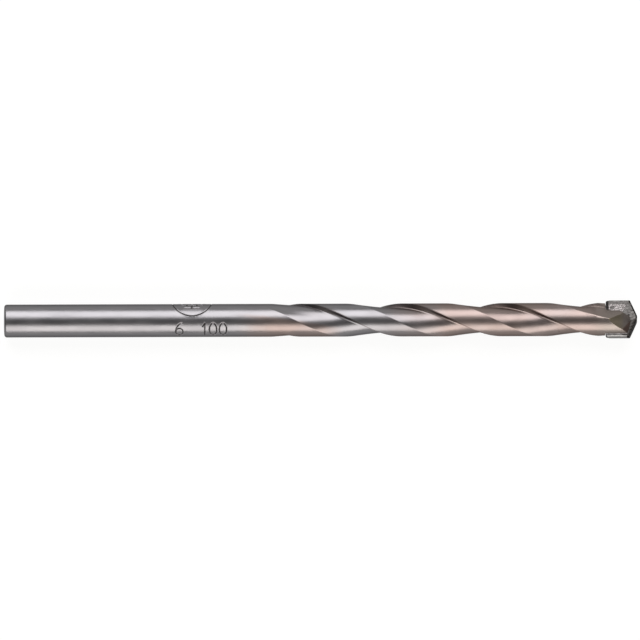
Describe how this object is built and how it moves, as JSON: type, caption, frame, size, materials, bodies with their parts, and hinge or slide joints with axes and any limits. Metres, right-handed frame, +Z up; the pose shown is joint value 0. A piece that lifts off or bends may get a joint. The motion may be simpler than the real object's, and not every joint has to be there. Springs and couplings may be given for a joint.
{
  "type": "masonry drill bit",
  "caption": "Straight-shank masonry drill bit with two right-hand spiral flutes and a carbide plate brazed across a 130 degree point.",
  "frame": {"origin": "on the surface that the bit lies on, under the middle of its length", "axes": "+X along the bit's axis towards the cutting point, +Z up from the surface, +Y across it"},
  "size_m": [0.1, 0.006, 0.0053],
  "materials": {
    "body_steel": "ground and polished steel, with a warm pink-brown heat tint that grows from the middle of the bit to the tip",
    "carbide": "dull grey sintered tungsten carbide with ground faces",
    "braze": "bright pinkish silver braze with a mottled, pitted skin"
  },
  "bodies": {
    "root": {"drill_body": "body_steel", "carbide_tip": "carbide", "braze_metal": "braze"}
  },
  "joints": []
}
